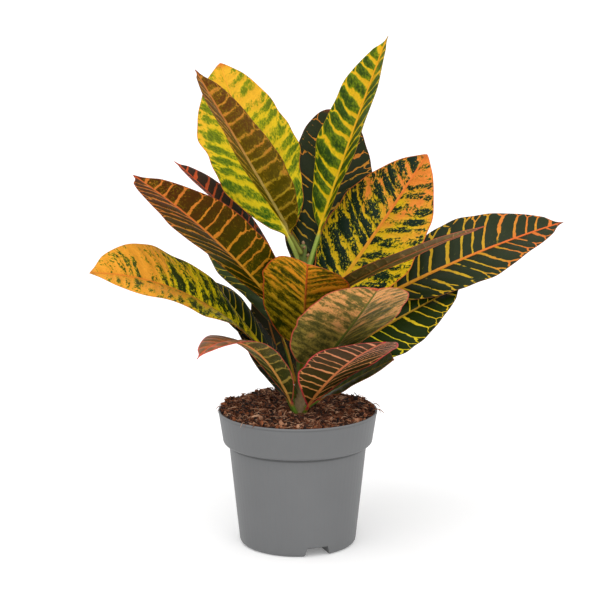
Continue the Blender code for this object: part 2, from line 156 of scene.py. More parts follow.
PALETTES = {
    # upper faces
    "gold": {"dark": (44, 86, 8), "dark_tip": (104, 112, 16), "mid": (136, 146, 12),
             "light": (214, 188, 20), "light_tip": (234, 176, 42), "hue": (0.40, 0.90),
             "rib": (214, 196, 84), "rib_tip": (238, 172, 48), "rim": (206, 100, 40),
             "stalk": (158, 172, 80), "vein": 1.8, "soft": 2.0, "core": 0.42, "near": 0.3,
             "streak": 0.45, "blotch": 0.60, "fleck": 0.55, "base_level": -0.02, "tip_level": 0.30,
             "edge_level": -0.3, "wash": 0.26, "halo": 0.20, "blur": 0.5, "rim_width": 0.6,
             "wander": 0.9, "taper": 0.4, "feather": 0.20, "net": 0.26, "net_width": 0.30,
             "gaps": 0.15, "gloss": 0.08},
    "lime": {"dark": (42, 68, 10), "dark_tip": (50, 72, 12), "mid": (118, 136, 6),
             "light": (224, 186, 14), "light_tip": (226, 174, 26), "rib": (224, 184, 32),
             "rib_tip": (230, 166, 36), "rim": (150, 130, 26), "stalk": (154, 174, 80),
             "vein": 2.6, "soft": 1.5, "core": 0.52, "near": 0.22, "streak": 0.35, "blotch": 0.30,
             "fleck": 0.50, "base_level": -0.04, "tip_level": 0.06, "wash": 0.24, "halo": 0.22,
             "blur": 0.36, "rib_width": 1.8, "taper": 0.80, "gaps": 0.22, "wander": 0.7,
             "feather": 0.14, "gloss": 0.08},
    "ember": {"dark": (18, 38, 22), "dark_tip": (28, 44, 30), "mid": (118, 130, 14),
              "light": (222, 182, 24), "light_tip": (238, 138, 54), "hue": (0.50, 0.86),
              "rib": (224, 172, 38), "rib_tip": (234, 128, 52), "rim": (212, 108, 48),
              "stalk": (164, 120, 50), "vein": 3.2, "soft": 1.4, "core": 0.40, "near": 0.20,
              "streak": 0.85, "blotch": 0.75, "fleck": 1.1, "base_level": 0.14, "tip_level": 0.24,
              "halo": 0.12, "blur": 0.10, "rib_width": 1.8, "rim_width": 1.1, "taper": 0.5,
              "specks": 0.32, "wander": 0.9, "gaps": 0.24, "feather": 0.16, "tilt": -0.1, "gloss": 0.1},
    "amber": {"dark": (26, 46, 16), "dark_tip": (62, 70, 30), "mid": (134, 143, 20),
              "light": (218, 196, 22), "light_tip": (238, 162, 50), "hue": (0.40, 0.72),
              "rib": (150, 132, 46), "rib_tip": (226, 138, 48), "rim": (204, 132, 54),
              "stalk": (80, 84, 40), "vein": 3.0, "soft": 2.0, "core": 0.22, "near": 0.16,
              "streak": 1.0, "blotch": 0.9, "fleck": 1.0, "base_level": 0.16, "tip_level": 0.56,
              "halo": 0.12, "blur": 0.16, "rib_width": 1.2, "wander": 1.0, "specks": 0.20,
              "feather": 0.12, "gloss": 0.1},
    "flame": {"dark": (30, 42, 14), "dark_tip": (42, 50, 24), "mid": (96, 96, 18),
              "light": (208, 166, 30), "light_tip": (226, 118, 46), "hue": (0.42, 0.88),
              "rib": (220, 154, 38), "rib_tip": (226, 108, 46), "rim": (110, 58, 34),
              "stalk": (140, 122, 50), "vein": 2.0, "core": 0.72, "near": 0.03,
              "streak": 0.28, "fleck": 0.5, "fork": 0.34, "rib_width": 1.7,
              "taper": 0.30, "wander": 0.4, "gaps": 0.36, "feather": 0.05, "tilt": 0.06,
              "gloss": 0.14},
    "night": {"dark": (31, 49, 7), "dark_tip": (36, 51, 10), "mid": (91, 115, 12),
              "light": (235, 220, 36), "light_tip": (235, 192, 38), "rib": (190, 146, 42),
              "rib_tip": (190, 146, 42), "rim": (80, 58, 30), "stalk": (100, 92, 34),
              "vein": 1.2, "soft": 0.45, "core": 0.72, "near": 0.02, "fleck": 0.5, "fork": 0.42,
              "rib_width": 1.3, "taper": 0.2, "wander": 0.45, "gloss": 0.14},
    "dusk": {"dark": (28, 38, 10), "dark_tip": (36, 40, 14), "mid": (80, 80, 20),
             "light": (160, 134, 42), "light_tip": (168, 112, 42), "rib": (164, 124, 42),
             "rib_tip": (174, 114, 42), "stalk": (90, 86, 34), "vein": 1.0, "core": 0.58,
             "near": 0.02, "streak": 0.35, "gaps": 0.42},
    "slate": {"dark": (41, 56, 21), "dark_tip": (59, 73, 41), "mid": (96, 110, 39),
              "light": (210, 190, 44), "light_tip": (192, 168, 48), "rib": (214, 170, 50),
              "rib_tip": (190, 134, 46), "stalk": (190, 142, 50), "vein": 1.1, "core": 0.62,
              "near": 0.02, "rib_width": 2.0, "gaps": 0.44, "gloss": 0.14},
    "soot": {"dark": (30, 42, 12), "dark_tip": (36, 42, 14), "mid": (72, 74, 20),
             "light": (196, 152, 34), "light_tip": (200, 118, 34), "rib": (160, 130, 38),
             "rib_tip": (178, 118, 38), "rim": (112, 52, 32), "vein": 1.5, "soft": 0.4,
             "core": 0.68, "near": 0.0, "streak": 0.40, "fleck": 0.6, "gaps": 0.44,
             "rib_width": 0.8, "fork": 0.40, "wander": 1.0, "taper": 0.2, "feather": 0.05,
             "gloss": 0.12, "specks": 0.08},
    "wine": {"dark": (56, 56, 34), "dark_tip": (74, 54, 42), "mid": (116, 76, 42),
             "light": (218, 108, 48), "light_tip": (222, 98, 54), "rib": (226, 106, 50),
             "rib_tip": (226, 96, 54), "rim": (170, 66, 44), "vein": 2.4, "core": 0.66,
             "near": 0.08, "rib_width": 1.5, "soft": 0.8, "gloss": 0.04},
    "umber": {"dark": (34, 38, 10), "dark_tip": (42, 40, 12), "mid": (86, 70, 22),
              "light": (150, 118, 38), "light_tip": (150, 118, 38), "rib": (150, 92, 34),
              "rib_tip": (150, 96, 34), "vein": 1.0, "near": 0.02, "gaps": 0.5},
    "fern": {"dark": (48, 64, 10), "dark_tip": (56, 60, 14), "mid": (94, 102, 18),
             "light": (142, 136, 32), "light_tip": (152, 122, 36), "rib": (130, 124, 34),
             "rib_tip": (142, 112, 36), "rim": (150, 72, 40), "vein": 1.0, "core": 0.4,
             "near": 0.02, "gaps": 0.5, "rim_width": 1.0},
    "coral": {"dark": (88, 74, 46), "dark_tip": (128, 88, 58), "mid": (140, 100, 62),
              "light": (200, 124, 66), "light_tip": (200, 116, 74), "hue": (0.3, 0.8),
              "rib": (204, 124, 66), "rib_tip": (218, 100, 72), "rim": (208, 74, 66),
              "vein": 2.0, "soft": 1.0, "core": 0.5, "near": 0.06, "streak": 0.5,
              "blotch": 0.5, "base_level": -0.1, "tip_level": 0.30, "rim_width": 1.4,
              "rib_width": 1.3, "halo": 0.2, "blur": 0.3, "gloss": 0.15},
    # under faces
    "olive": {"dark": (46, 50, 14), "dark_tip": (56, 50, 18), "mid": (90, 82, 26),
              "light": (152, 126, 52), "light_tip": (166, 116, 54), "rib": (182, 130, 60),
              "rib_tip": (186, 116, 64), "rim": (146, 88, 52), "stalk": (104, 136, 46),
              "vein": 1.1, "near": 0.04, "rough": 0.55, "relief": 0.5,
              "rib_width": 1.2, "net": 0.12, "gloss": 0.06},
    "blush": {"dark": (56, 60, 20), "dark_tip": (92, 72, 42), "mid": (102, 92, 38),
              "light": (156, 132, 58), "light_tip": (216, 132, 86), "hue": (0.45, 0.95),
              "rib": (204, 146, 70), "rib_tip": (214, 120, 76), "rim": (206, 90, 70),
              "stalk": (108, 146, 48), "soft": 0.8, "core": 0.52, "near": 0.08,
              "streak": 0.4, "fleck": 0.4, "base_level": -0.04, "tip_level": 0.30,
              "rough": 0.55, "relief": 0.5, "rib_width": 1.4, "rim_width": 1.3, "net": 0.18,
              "gloss": 0.05, "blur": 0.25},
    "maroon": {"dark": (60, 64, 4), "dark_tip": (82, 42, 14), "mid": (109, 89, 11),
               "light": (206, 146, 31), "light_tip": (214, 121, 50), "hue": (0.2, 0.8),
               "rib": (202, 148, 44), "rib_tip": (206, 106, 52), "rim": (170, 62, 40),
               "stalk": (116, 128, 44), "vein": 1.4, "soft": 0.8, "core": 0.58,
               "streak": 0.40, "fleck": 0.55, "blotch": 0.25, "tip_level": 0.02, "rough": 0.6,
               "relief": 0.5, "rib_width": 1.4, "rim_width": 0.9, "net": 0.16, "gloss": 0.03,
               "taper": 0.35, "gaps": 0.22, "wander": 0.5, "blur": 0.24, "halo": 0.14,
               "feather": 0.05, "specks": 0.1},
    "umbra": {"dark": (100, 92, 6), "dark_tip": (109, 61, 22), "mid": (139, 113, 14),
              "light": (210, 177, 44), "light_tip": (212, 137, 48), "hue": (0.2, 0.7),
              "rib": (212, 190, 98), "rib_tip": (196, 122, 60), "rim": (150, 66, 28),
              "stalk": (166, 178, 84), "vein": 1.1, "soft": 1.3, "core": 0.46, "near": 0.16,
              "streak": 0.45, "fleck": 0.7, "blotch": 0.30, "tip_level": 0.02, "rough": 0.6,
              "relief": 0.5, "rib_width": 1.8, "net": 0.16, "gloss": 0.03,
              "taper": 0.3, "wander": 0.6, "blur": 0.42, "halo": 0.14, "gaps": 0.2,
              "feather": 0.06},
    "bronze": {"dark": (80, 76, 26), "dark_tip": (104, 76, 46), "mid": (116, 98, 46),
               "light": (146, 124, 58), "light_tip": (180, 114, 76), "rib": (156, 122, 54),
               "rib_tip": (176, 90, 62), "rim": (196, 88, 62), "stalk": (110, 122, 40),
               "vein": 0.8, "core": 0.30, "near": 0.0, "streak": 0.5, "blotch": 0.4,
               "base_level": 0.06, "tip_level": 0.14, "rough": 0.55, "relief": 0.3,
               "rim_width": 1.6, "net": 0.10, "gloss": 0.05, "blur": 0.4},
    "tawny": {"dark": (45, 55, 3), "dark_tip": (62, 58, 9), "mid": (130, 114, 9),
              "light": (178, 150, 28), "light_tip": (225, 148, 34), "hue": (0.25, 0.75),
              "rib": (146, 118, 32), "rib_tip": (196, 92, 36), "rim": (198, 80, 42),
              "stalk": (112, 114, 32), "vein": 2.0, "soft": 2.4, "core": 0.26, "near": 0.22,
              "streak": 0.75, "blotch": 0.75, "fleck": 0.8, "base_level": 0.12,
              "tip_level": 0.34, "edge_level": -0.06, "blur": 0.36, "halo": 0.18,
              "rough": 0.55, "relief": 0.5, "rib_width": 1.2, "rim_width": 1.3,
              "gloss": 0.06, "wander": 0.8, "feather": 0.12},
    "rosy": {"dark": (70, 71, 24), "dark_tip": (103, 93, 53), "mid": (131, 115, 53),
             "light": (159, 139, 58), "light_tip": (227, 159, 94), "hue": (0.30, 0.72),
             "rib": (84, 100, 28), "rib_tip": (108, 108, 48), "rim": (202, 80, 66),
             "stalk": (102, 114, 36), "vein": 2.0, "soft": 2.2, "core": 0.20, "near": 0.14,
             "streak": 0.9, "blotch": 0.8, "fleck": 0.7, "base_level": 0.08,
             "tip_level": 0.42, "blur": 0.50, "halo": 0.16, "rough": 0.55, "relief": 0.4,
             "rib_width": 1.6, "rim_width": 1.3, "gloss": 0.06, "wander": 0.8,
             "feather": 0.10},
    "brick": {"dark": (52, 46, 12), "dark_tip": (73, 50, 31), "mid": (109, 77, 41),
              "light": (203, 137, 72), "light_tip": (214, 134, 98), "rib": (186, 114, 56),
              "rib_tip": (192, 106, 76), "rim": (198, 58, 62), "stalk": (104, 130, 34),
              "vein": 1.6, "soft": 0.7, "core": 0.66, "near": 0.08, "fleck": 0.4,
              "tip_level": 0.06, "rough": 0.55, "relief": 0.6, "rib_width": 1.6,
              "rim_width": 1.9, "net": 0.08, "gloss": 0.06, "taper": 0.4, "gaps": 0.20,
              "wander": 0.4, "fork": 0.36},
}

BLADE_STATIONS = 150
PETIOLE_STATIONS = 12
LEAF_RADIAL = 12
PATH_STEPS = 600
VEIN_LEAN = 0.42
VEIN_CURVE = 0.16
BLADE_THICKNESS = 0.00042
EDGE_THICKNESS = 0.00022
RIB_RISE = 0.0009
BLADE_ARCH = 0.045
LEAF_TONE = 0.92
RUFFLE = 0.012
STOUT_FROM = 24
STOUT = 1.45


# ---- shader formulas ---------------------------------------------------------------------------
class Wire:
    """A number in a shader, so that a formula can be written with + - * and /."""

    def __init__(self, net, socket):
        self.net = net
        self.socket = socket

    def __add__(self, other):
        return self.net.math("ADD", self, other)

    def __sub__(self, other):
        return self.net.math("SUBTRACT", self, other)

    def __rsub__(self, other):
        return self.net.math("SUBTRACT", other, self)

    def __mul__(self, other):
        return self.net.math("MULTIPLY", self, other)

    def __truediv__(self, other):
        return self.net.math("DIVIDE", self, other)

    __radd__ = __add__
    __rmul__ = __mul__


class Net:
    """Writes the nodes of one material."""

    def __init__(self, name):
        self.material = bpy.data.materials.new(name)
        self.material.use_nodes = True
        self.tree = self.material.node_tree
        self.shader = self.tree.nodes["Principled BSDF"]

    def node(self, kind, **settings):
        item = self.tree.nodes.new(kind)
        for key, value in settings.items():
            setattr(item, key, value)
        return item

    def feed(self, socket, value):
        if isinstance(value, Wire):
            self.tree.links.new(value.socket, socket)
        else:
            socket.default_value = value

    def math(self, operation, *values):
        item = self.node("ShaderNodeMath", operation=operation)
        for socket, value in zip(item.inputs, values):
            self.feed(socket, value)
        return Wire(self, item.outputs[0])

    def step(self, low, high, value):
        """0 below low, 1 above high and smooth between; the other way round if low > high."""
        item = self.node("ShaderNodeMapRange", interpolation_type="SMOOTHSTEP")
        self.feed(item.inputs["Value"], value)
        self.feed(item.inputs["From Min"], low)
        self.feed(item.inputs["From Max"], high)
        return Wire(self, item.outputs["Result"])

    def vector(self, x, y, z):
        item = self.node("ShaderNodeCombineXYZ")
        for socket, value in zip(item.inputs, (x, y, z)):
            self.feed(socket, value)
        return Wire(self, item.outputs[0])

    def attribute(self, name):
        item = self.node("ShaderNodeAttribute", attribute_name=name)
        parts = self.node("ShaderNodeSeparateXYZ")
        self.tree.links.new(item.outputs["Vector"], parts.inputs[0])
        return [Wire(self, socket) for socket in parts.outputs]

    def noise(self, place, scale=1.0, detail=1.0, rough=0.5):
        item = self.node("ShaderNodeTexNoise")
        self.feed(item.inputs["Vector"], place)
        item.inputs["Scale"].default_value = scale
        item.inputs["Detail"].default_value = detail
        item.inputs["Roughness"].default_value = rough
        return Wire(self, item.outputs["Fac"])

    def cells(self, place, scale=1.0):
        """Distance to the nearest wall of a net of cells."""
        item = self.node("ShaderNodeTexVoronoi", feature="DISTANCE_TO_EDGE")
        self.feed(item.inputs["Vector"], place)
        item.inputs["Scale"].default_value = scale
        return Wire(self, item.outputs["Distance"])

    def mix(self, share, first, second):
        item = self.node("ShaderNodeMix", data_type="RGBA")
        self.feed(item.inputs["Factor"], share)
        self.feed(item.inputs[6], first)
        self.feed(item.inputs[7], second)
        return Wire(self, item.outputs[2])

    def shade(self, colour, amount):
        """The colour made brighter or darker."""
        item = self.node("ShaderNodeHueSaturation")
        self.feed(item.inputs["Color"], colour)
        self.feed(item.inputs["Value"], amount)
        return Wire(self, item.outputs[0])

    def object_place(self):
        item = self.node("ShaderNodeTexCoord")
        return Wire(self, item.outputs["Object"])

    def bump(self, height, distance, strength=1.0):
        item = self.node("ShaderNodeBump")
        self.feed(item.inputs["Height"], height)
        item.inputs["Distance"].default_value = distance
        item.inputs["Strength"].default_value = strength
        self.tree.links.new(item.outputs[0], self.shader.inputs["Normal"])

    def finish(self, colour, rough):
        self.feed(self.shader.inputs["Base Color"], colour)
        self.feed(self.shader.inputs["Roughness"], rough)
        return self.material


def srgb(colour):
    """Display values from 0 to 255 as a linear colour."""
    linear = []
    for value in colour:
        share = value / 255.0
        linear.append(share / 12.92 if share < 0.04045 else ((share + 0.055) / 1.055) ** 2.4)
    return (*linear, 1.0)


def leaf_material(name, changes):
    """One face of a croton leaf. The mesh says where on the blade and between which veins we are."""
    p = {**PLAIN, **changes}
    net = Net(name)
    side_place, s, across = net.attribute("blade")
    left, right, seed = net.attribute("vein")
    out = net.math("ABSOLUTE", side_place)
    side = net.math("GREATER_THAN", side_place, 0.0)
    reach = net.math("ABSOLUTE", across)
    edge = reach / net.math("MAXIMUM", out, 0.03) - reach
    row = left + (right - left) * side
    place = seed + side * 5.0

    wobble = net.noise(net.vector(row * 1.1, reach * 0.10, place), detail=2.0) - 0.5
    phase = row + wobble * p["wander"]
    cell = net.math("ABSOLUTE", net.math("FRACT", phase) - 0.5)
    fleck = net.noise(net.vector(row * 7.0, reach * 0.55, place + 2.0), detail=3.0, rough=0.65)
    gap = net.math("ABSOLUTE", cell - net.step(0.80, 1.02, out + wobble * 0.5) * p["fork"])
    gap = gap + (fleck - 0.5) * p["feather"]
    strength = net.noise(net.vector(row * 0.8, reach * 0.08, place + 9.0), detail=2.0)
    taper = 1.0 - net.math("POWER", out, 0.6) * p["taper"]
    half = net.math("MAXIMUM", (strength * 1.6 + 0.2) * (p["vein"] / 20.0) * taper, 0.012)
    core = net.step(half + p["soft"] / 10.0, half * 0.7, gap)
    core = core * net.step(p["gaps"] - 0.10, p["gaps"] + 0.08, strength)
    near = net.step(0.5, 0.0, gap) * (1.0 - out * p["taper"])

    streak = net.noise(net.vector(row * 2.6, reach * 0.13, place + 3.0), detail=5.0, rough=0.65)
    blotch = net.noise(net.vector(row * 0.6, reach * 0.06, place + 6.0), detail=2.0)
    level = core * p["core"] + near * p["near"]
    level = level + (streak - 0.5) * (2.0 * p["streak"]) + (blotch - 0.5) * (2.0 * p["blotch"])
    level = level + (fleck - 0.5) * (2.0 * p["fleck"])
    level = level + p["base_level"] + s * (p["tip_level"] - p["base_level"])
    level = level + net.step(11.0, 0.0, reach) * p["wash"]
    level = level + net.step(0.45, 1.0, out) * p["edge_level"] + (side - 0.5) * (2.0 * p["tilt"])
    if p["net"]:
        mesh = net.cells(net.vector(row * 3.2, reach * 0.4, place))
        level = level + net.step(p["net_width"], 0.0, mesh) * p["net"]
    if p["specks"]:
        dots = net.noise(net.vector(row * 12.0, reach * 1.1, place + 4.0), detail=2.0, rough=0.6)
        level = level + net.step(0.60, 0.66, dots) * p["specks"]
        level = level - net.step(0.38, 0.33, dots) * p["specks"]

    dark = net.mix(net.step(0.15, 0.95, s + wobble * 0.3), srgb(p["dark"]), srgb(p["dark_tip"]))
    hue = net.step(p["hue"][0], p["hue"][1], s + (blotch - 0.5) * 0.8)
    light = net.mix(hue, srgb(p["light"]), srgb(p["light_tip"]))
    start = 0.5 - p["halo"]
    colour = net.mix(net.step(start - p["blur"], start + p["blur"] / 2, level), dark, srgb(p["mid"]))
    colour = net.mix(net.step(0.5 - p["blur"] / 2, 0.5 + p["blur"] / 2, level), colour, light)
    colour = net.shade(colour, LEAF_TONE * (0.60 + 0.40 * streak + 0.40 * fleck))

    rib_half = (1.0 - s * 0.62) * p["rib_width"]
    rib = net.step(rib_half + 0.30, rib_half - 0.15, reach + (fleck - 0.5) * 0.6)
    rib_colour = net.mix(net.step(0.1, 0.8, s), srgb(p["rib"]), srgb(p["rib_tip"]))
    colour = net.mix(rib, colour, rib_colour)
    rim = net.step(p["rim_width"], p["rim_width"] * 0.35, edge + (streak - 0.5) * 0.8)
    rim = net.math("MAXIMUM", rim, net.step(0.955, 1.0, s))
    colour = net.mix(rim * 0.85, colour, srgb(p["rim"]))
    colour = net.mix(net.step(0.015, -0.02, s), colour, srgb(p["stalk"]))
    grain = net.noise(net.vector(row * 20.0, reach * 1.9, place), detail=3.0, rough=0.6)
    colour = net.shade(colour, 0.78 + 0.44 * grain)

    relief = core * p["relief"] + net.step(0.40, 0.0, gap) * p["relief"] + rib * p["relief"]
    net.bump(relief + grain * 0.30 + streak * 0.5, 0.00045)
    net.shader.inputs["Specular IOR Level"].default_value = p["gloss"]
    return net.finish(colour, p["rough"] + (grain - 0.5) * 0.3)


# ---- leaf geometry -----------------------------------------------------------------------------
def stem_share(height):
    return min(1.0, max(0.0, (height - STEM_SOIL_LEVEL) / (STEM_TOP - STEM_SOIL_LEVEL)))


def stem_centre(height):
    return np.array([STEM_FOOT_X + STEM_LEAN_X * stem_share(height), 0.0, height])


def stem_radius(height):
    return STEM_RADIUS - STEM_TAPER * stem_share(height)


def leaf_height(order):
    return FIRST_LEAF_Z + LEAF_STEP * order + LEAF_STEP_GROWTH * order * order


def smooth(low, high, value):
    share = np.clip((value - low) / (high - low), 0.0, 1.0)
    return share * share * (3.0 - 2.0 * share)


def half_width(leaf, share):
    """Half the blade's width at shares of its length, from its widest place and tip form."""
    widest, blunt, point = FORMS[leaf["form"]]
    rise = blunt * widest / (1.0 - widest)
    inside = np.clip(share, 0.0, 1.0)
    shape = inside ** rise * (1.0 - inside) ** blunt
    shape = shape / (widest ** rise * (1.0 - widest) ** blunt)
    return leaf["width"] / 2 * shape * (1.0 - point * smooth(0.92, 0.985, inside))


def leaf_axes(leaf, along):
    """Directions at shares of the whole leaf: forward, to the side, and out of the upper face."""
    turned = np.radians(leaf["azimuth"] + leaf["swing"] * along)
    lift0, lift1 = leaf["lift"]
    lift = np.radians(lift0 + (lift1 - lift0) * np.clip(along, 0.0, 1.0) ** leaf["droop"])
    forward = np.stack([np.cos(lift) * np.cos(turned), np.cos(lift) * np.sin(turned), np.sin(lift)], 1)
    side = np.stack([-np.sin(turned), np.cos(turned), np.zeros_like(turned)], 1)
    upper = np.cross(forward, side)
    twist0, twist1 = leaf["twist"]
    twist = np.radians(twist0 + (twist1 - twist0) * along)[:, None]
    across = side * np.cos(twist) + upper * np.sin(twist)
    normal = upper * np.cos(twist) - side * np.sin(twist)
    return forward, across, normal


def leaf_path(leaf, order, stations):
    """Points of the midrib at shares of the whole leaf, negative shares reach into the stem."""
    length = leaf["petiole"] + leaf["blade"]
    height = leaf_height(order)
    azimuth = math.radians(leaf["azimuth"])
    lift = math.radians(leaf["lift"][0])
    reach = stem_radius(height) + LEAF_GAP + PETIOLE_RADIUS * math.sin(lift)
    start = stem_centre(height) + np.array([math.cos(azimuth), math.sin(azimuth), 0.0]) * reach
    middles = (np.arange(PATH_STEPS) + 0.5) / PATH_STEPS
    moves = leaf_axes(leaf, middles)[0] * length / PATH_STEPS
    points = np.vstack([start, start + np.cumsum(moves, axis=0)])
    shares = np.arange(PATH_STEPS + 1) / PATH_STEPS
    path = np.stack([np.interp(stations, shares, points[:, axis]) for axis in range(3)], 1)
    before = np.minimum(stations, 0.0)[:, None]
    return path + leaf_axes(leaf, np.zeros(1))[0] * before * length


def vein_phases(leaf, share, out, width):
    """Which lateral vein a place lies on, for the left and for the right half of the blade."""
    lean = (VEIN_LEAN * out + VEIN_CURVE * out * out) * width / leaf["blade"]
    base = leaf["veins"] * (share * 0.94 + 0.06 * share * share - lean)
    left = base + 0.20 * np.sin(base * 1.7 + leaf["seed"])
    right = base + 0.45 + 0.20 * np.sin(base * 1.5 + leaf["seed"] * 2.3 + 1.0)
    return left, right


def grow_leaf(leaf, order):
    """The leaf as one closed mesh: rings of points round its two faces, from foot to tip."""
    length = leaf["petiole"] + leaf["blade"]
    foot = leaf["petiole"] / length
    petiole = np.linspace(-PETIOLE_SINK / length, foot, PETIOLE_STATIONS, endpoint=False)
    steps = np.linspace(0.0, 1.0, BLADE_STATIONS)
    even = steps - 0.10 * np.sin(math.tau * steps)
    stations = np.concatenate([petiole, foot + (1.0 - foot) * even])
    share = (stations - foot) / (1.0 - foot)
    path = leaf_path(leaf, order, stations)
    _, across, normal = leaf_axes(leaf, stations)

    inside = np.clip(share, 0.0, 1.0)
    width = half_width(leaf, share)
    width = np.maximum(width, np.maximum(PETIOLE_RADIUS * (1.0 - inside * 1.4), 0.00025))
    rib = np.minimum(0.0014 * (1.0 - 0.6 * inside), width * 0.4)

    spread = np.sin(np.linspace(0.0, 1.0, LEAF_RADIAL + 1)[1:] * math.pi / 2)
    near = (rib / width)[:, None]
    half = np.hstack([near * 0.5, near, near + (1.0 - near) * spread[None, :]])
    u = np.hstack([-half[:, ::-1], np.zeros((len(stations), 1)), half])
    out = np.abs(u)
    b = inside[:, None]
    ruffle = RUFFLE + RUFFLE * leaf["wave"] / MM
    lobes = np.sin(b * 19.0 + leaf["seed"] + 2.4 * (u > 0)) + 0.5 * np.sin(b * 41.0 + leaf["seed"] * 3.1)
    w = width[:, None] * (1.0 + ruffle * lobes * np.sin(math.pi * b))

    left, right = vein_phases(leaf, b, out, w)
    phase = np.where(u > 0, right, left)
    on_vein = np.exp(-((np.abs(phase % 1.0 - 0.5) * leaf["blade"] / leaf["veins"]) / 0.0010) ** 2)
    pillow = 0.5 + 0.5 * np.cos(math.tau * phase)
    body = np.sin(math.pi * np.clip(out, 0.0, 1.0) ** 0.75) * np.sin(math.pi * b) ** 0.4
    fold = math.radians(leaf["fold"])
    rise = out * w * math.sin(fold) + BLADE_ARCH * w * 4.0 * out * (1.0 - out)
    rise = rise + leaf["quilt"] * pillow * body
    swing = np.sin(math.tau * leaf["waves"] * b + leaf["seed"] + np.where(u > 0, 1.9, 0.0))
    rise = rise + leaf["wave"] * out ** 1.6 * swing * np.sin(math.pi * b) ** 0.6

    thick = EDGE_THICKNESS + (BLADE_THICKNESS - EDGE_THICKNESS) * (1.0 - out ** 3)
    keel = RIB_RISE * (1.0 - 0.75 * b) * np.sqrt(np.clip(1.0 - (out / near) ** 2, 0.0, 1.0))
    ridge = 0.00022 * on_vein * body
    blade_x = u * w * math.cos(fold)
    blade_top = rise + thick / 2
    blade_low = rise - thick / 2 - keel - ridge

    stout = STOUT if order >= STOUT_FROM else 1.1
    swell = stout * (1.0 + 0.45 * (1.0 - smooth(-0.02, 0.07, stations))[:, None])
    angle = u * math.pi / 2 * 0.97
    stalk_x = PETIOLE_RADIUS * swell * np.sin(angle)
    stalk_z = PETIOLE_RADIUS * swell * np.cos(angle)
    blend = smooth(-0.01, 0.07, share)[:, None]
    x = stalk_x + (blade_x - stalk_x) * blend
    top = stalk_z + (blade_top - stalk_z) * blend
    low = -stalk_z + (blade_low + stalk_z) * blend

    def place(height):
        return path[:, None, :] + across[:, None, :] * x[..., None] + normal[:, None, :] * height[..., None]

    rings = np.concatenate([place(top), place(low)[:, ::-1]], axis=1)
    facts = [u, np.broadcast_to(share[:, None], u.shape), u * w / MM, left, right]
    marks = [np.concatenate([fact, fact[:, ::-1]], axis=1) for fact in facts]
    return rings, marks


def ring_faces(rows, size):
    """Quads between neighbouring rings, and the two end caps."""
    faces = []
    for row in range(rows - 1):
        for i in range(size):
            j = (i + 1) % size
            faces.append((row * size + i, row * size + j, (row + 1) * size + j, (row + 1) * size + i))
    faces.append(tuple(range(size))[::-1])
    faces.append(tuple((rows - 1) * size + i for i in range(size)))
    return faces


def mesh_object(name, vertices, faces, materials):
    mesh = bpy.data.meshes.new(name)
    mesh.from_pydata(vertices, [], faces)
    for material in materials:
        mesh.materials.append(material)
    mesh.shade_smooth()
    item = bpy.data.objects.new(name, mesh)
    bpy.context.scene.collection.objects.link(item)
    return item


def face_out(mesh):
    """Turns a closed mesh's faces outwards."""
    builder = bmesh.new()
    builder.from_mesh(mesh)
    bmesh.ops.recalc_face_normals(builder, faces=builder.faces)
    builder.to_mesh(mesh)
    builder.free()


def store_vectors(mesh, name, rows):
    attribute = mesh.attributes.new(name, "FLOAT_VECTOR", "POINT")
    attribute.data.foreach_set("vector", np.asarray(rows, dtype=np.float32).ravel())


def read_leaf(row, order):
    name, form, azimuth, swing, lift, droop, petiole, blade, width, twist, fold = row
    slot, upper, under, veins, wave, waves, quilt = LOOKS[name]
    return {"name": name, "form": form, "azimuth": azimuth, "swing": swing, "lift": lift,
            "droop": droop, "petiole": petiole * MM, "blade": blade * MM, "width": width * MM,
            "twist": twist, "fold": fold, "slot": slot, "upper": upper, "under": under,
            "veins": veins, "wave": wave * MM, "waves": waves, "quilt": quilt * MM,
            "seed": 1.7 * order + 0.6}


def make_leaf(leaf, order, materials):
    rings, marks = grow_leaf(leaf, order)
    rows, size, _ = rings.shape
    faces = ring_faces(rows, size)
    finishes = [materials[leaf["upper"]], materials[leaf["under"]]]
    item = mesh_object(leaf["name"] + "_blade", rings.reshape(-1, 3).tolist(), faces, finishes)
    lower = size // 2
    slots = [1 if face[0] % size >= lower else 0 for face in faces]
    item.data.polygons.foreach_set("material_index", slots)
    u, share, across, left, right = [mark.ravel() for mark in marks]
    store_vectors(item.data, "blade", np.stack([u, share, across], 1))
    store_vectors(item.data, "vein", np.stack([left, right, np.full_like(left, leaf["seed"])], 1))
    face_out(item.data)
    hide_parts(leaf["name"])
    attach(item, "root")
    return item


# ---- stem ----------------------------------------------------------------------------------------
STEM_SEEN_LOW = 0.096
STEM_DOME = 0.0035
STEM_ROWS = 110
STEM_SIDES = 28
# Buds: height, azimuth, distance from the stem's axis, length and radius.
BUDS = [
    (STEM_SEEN_TOP, 0.0, 0.0, 0.0034, 0.0013),
    (0.2425, -75.0, 0.0030, 0.0030, 0.0012),
    (0.2400, -150.0, 0.0032, 0.0028, 0.0012),
    (0.2360, -20.0, 0.0034, 0.0030, 0.0012),
    (0.2290, -110.0, 0.0036, 0.0030, 0.0011),
]


